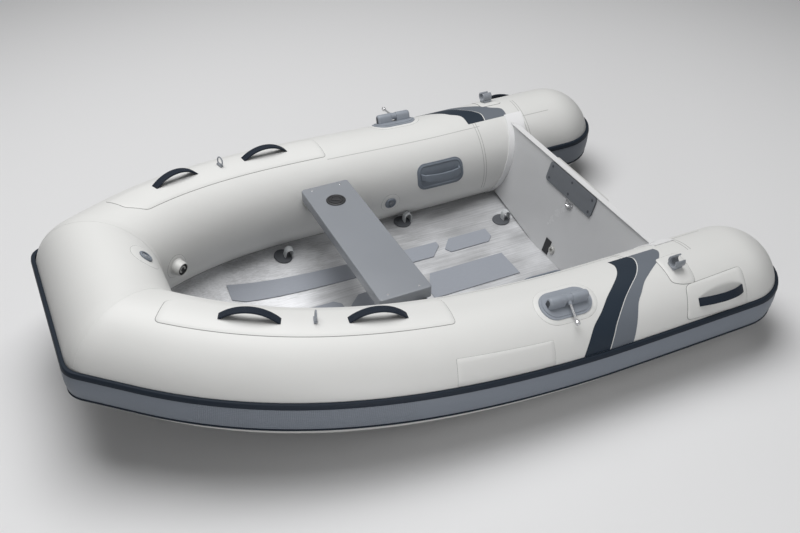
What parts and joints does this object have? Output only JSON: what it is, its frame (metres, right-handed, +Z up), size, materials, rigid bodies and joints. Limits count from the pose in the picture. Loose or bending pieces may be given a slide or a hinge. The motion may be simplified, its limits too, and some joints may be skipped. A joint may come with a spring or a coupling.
{
  "type": "rigid-hulled inflatable tender",
  "caption": "Small rigid-hulled inflatable tender with U-shaped air tubes, folded aluminium hull, raked transom, bench seat, rowlocks and carrying handles.",
  "frame": {"origin": "on the ground under the middle of the boat's box, at the bottom of the keel guard", "axes": "+X to the bow, +Y to port, +Z up"},
  "size_m": [2.6371, 1.7346, 0.5956],
  "materials": {
    "bare_aluminium": "brushed sheet",
    "black_rubber": "moulded rubber",
    "foam_pad": "closed-cell foam, fine texture",
    "grey_moulding": "moulded grey fitting, satin",
    "keel_rubber": "extruded keel guard",
    "navy_rubber": "extruded bead, satin",
    "navy_webbing": "coated webbing",
    "pad_plastic": "moulded pad, fine grain",
    "pale_moulding": "moulded fitting",
    "patch_fabric": "glued patch of tube cloth",
    "seat_paint": "satin powder coat",
    "stainless_steel": "polished stainless steel",
    "strake_rubber": "moulded rubbing strake, fine ribs",
    "strap_webbing": "woven strap",
    "tube_fabric": "coated tube cloth, fine weave, satin",
    "valve_plastic": "moulded valve",
    "white_paint": "gloss paint on aluminium"
  },
  "bodies": {
    "hull": {"bench_seat": "seat_paint", "bottom_runners": "bare_aluminium", "bow_beads": "navy_rubber", "bow_chamber": "tube_fabric", "bow_fitting": "pale_moulding", "bow_saddle": "bare_aluminium", "bow_strake": "strake_rubber", "bow_valve": "valve_plastic", "clip_patches": "patch_fabric", "drain_flap": "black_rubber", "drain_valve": "valve_plastic", "floor_pads": "foam_pad", "hull_plate": "bare_aluminium", "inner_clamp_pad": "pad_plastic", "keel_guard": "keel_rubber", "lashing_rings": "stainless_steel", "lifting_loops": "strap_webbing", "oar_clips": "grey_moulding", "outer_clamp_pad": "pad_plastic", "port_beads": "navy_rubber", "port_chamber": "tube_fabric", "port_grab_handle": "grey_moulding", "port_handles": "navy_webbing", "port_rowlock_base": "grey_moulding", "port_saddle": "bare_aluminium", "port_strake": "strake_rubber", "port_valve": "valve_plastic", "port_wear_patch": "patch_fabric", "seat_brackets": "black_rubber", "seat_cap": "black_rubber", "starboard_beads": "navy_rubber", "starboard_chamber": "tube_fabric", "starboard_grab_handle": "grey_moulding", "starboard_handles": "navy_webbing", "starboard_rowlock_base": "grey_moulding", "starboard_saddle": "bare_aluminium", "starboard_strake": "strake_rubber", "starboard_valve": "valve_plastic", "starboard_wear_patch": "patch_fabric", "stern_handles": "navy_webbing", "stern_patches": "patch_fabric", "transom_cap": "white_paint", "transom_collars": "patch_fabric", "transom_eye": "stainless_steel", "transom_plate": "white_paint"},
    "port_oar_pin": {"port_rowlock_collar": "grey_moulding", "port_rowlock_pin": "stainless_steel"},
    "starboard_oar_pin": {"starboard_rowlock_collar": "grey_moulding", "starboard_rowlock_pin": "stainless_steel"}
  },
  "joints": [
    {"name": "port_pin_swing", "type": "hinge", "parent": "hull", "child": "port_oar_pin", "pos_m": [-0.33, 0.72078, 0.45126], "axis": [0.9988, -0.0261, 0.0408], "range_deg": [0, 105]},
    {"name": "starboard_pin_swing", "type": "hinge", "parent": "hull", "child": "starboard_oar_pin", "pos_m": [-0.33, -0.72078, 0.45126], "axis": [0.9988, 0.0261, 0.0408], "range_deg": [-75, 30]}
  ]
}
